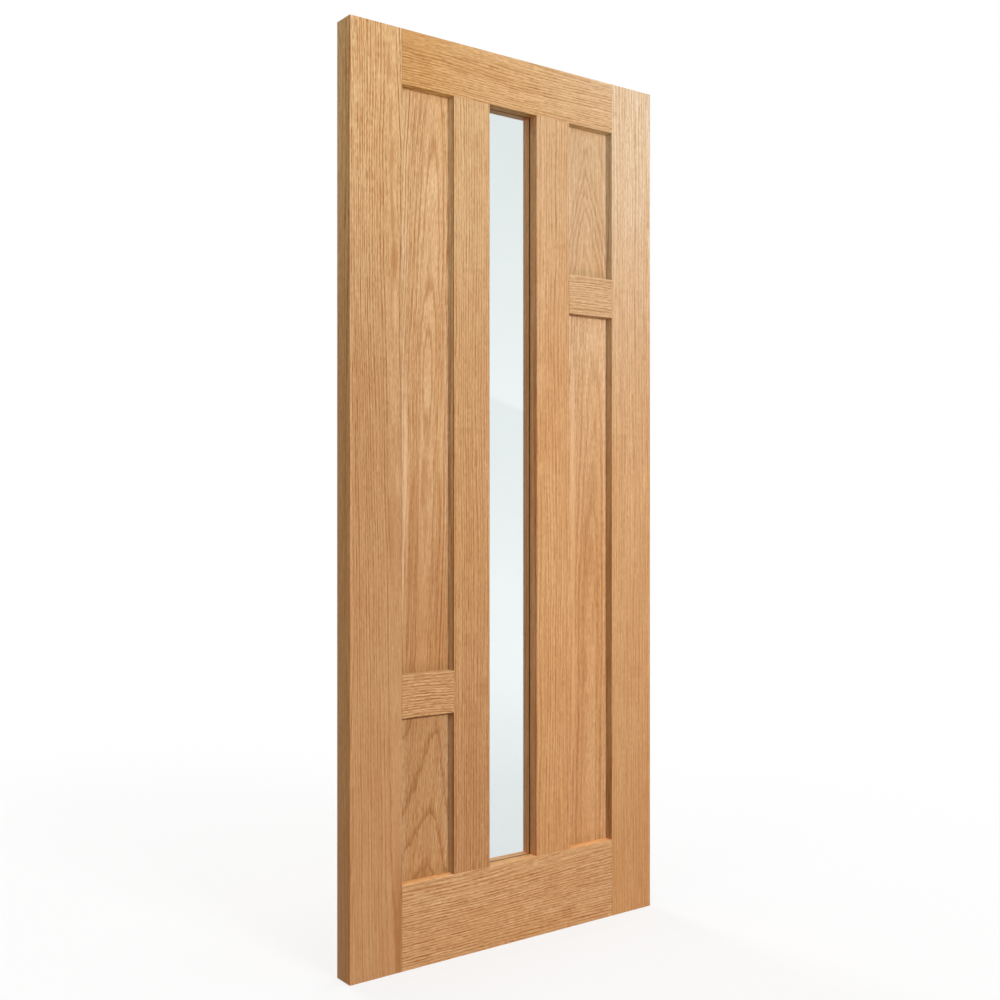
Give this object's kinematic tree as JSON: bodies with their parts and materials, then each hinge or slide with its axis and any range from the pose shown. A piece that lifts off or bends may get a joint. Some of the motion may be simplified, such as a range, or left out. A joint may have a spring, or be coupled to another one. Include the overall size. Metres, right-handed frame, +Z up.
{
  "type": "glazed panel door leaf",
  "caption": "Tall oak door leaf with one narrow clear glazed strip between two mullions, and flat recessed panels split by short cross rails.",
  "frame": {"origin": "on the hinge edge's flat face, at the foot of the leaf and in the middle of its thickness", "axes": "+X from the hinge edge to the lock edge, +Y from the front face to the back face, where the glazing beads are, +Z up"},
  "size_m": [0.838, 0.054, 1.981],
  "materials": {
    "oak_left": "clear satin oil on straight-grained oak",
    "oak_right": "clear satin oil on paler oak",
    "oak_panel": "clear satin oil on crown-cut oak veneer",
    "clear_glass": "clear toughened glass",
    "glazing_tape": "matt dark glazing tape"
  },
  "bodies": {
    "root": {"left_stile": "oak_left", "right_stile": "oak_right", "left_edge_lipping": "oak_left", "right_edge_lipping": "oak_right", "top_rail": "oak_right", "bottom_rail": "oak_left", "left_mullion": "oak_left", "right_mullion": "oak_right", "left_cross_rail": "oak_left", "right_cross_rail": "oak_right", "left_upper_panel": "oak_panel", "left_lower_panel": "oak_panel", "right_upper_panel": "oak_panel", "right_lower_panel": "oak_panel", "glass_pane": "clear_glass", "front_glazing_tape": "glazing_tape", "back_glazing_tape": "glazing_tape", "left_glazing_bead": "oak_left", "right_glazing_bead": "oak_left", "top_glazing_bead": "oak_left", "bottom_glazing_bead": "oak_left"}
  },
  "joints": []
}
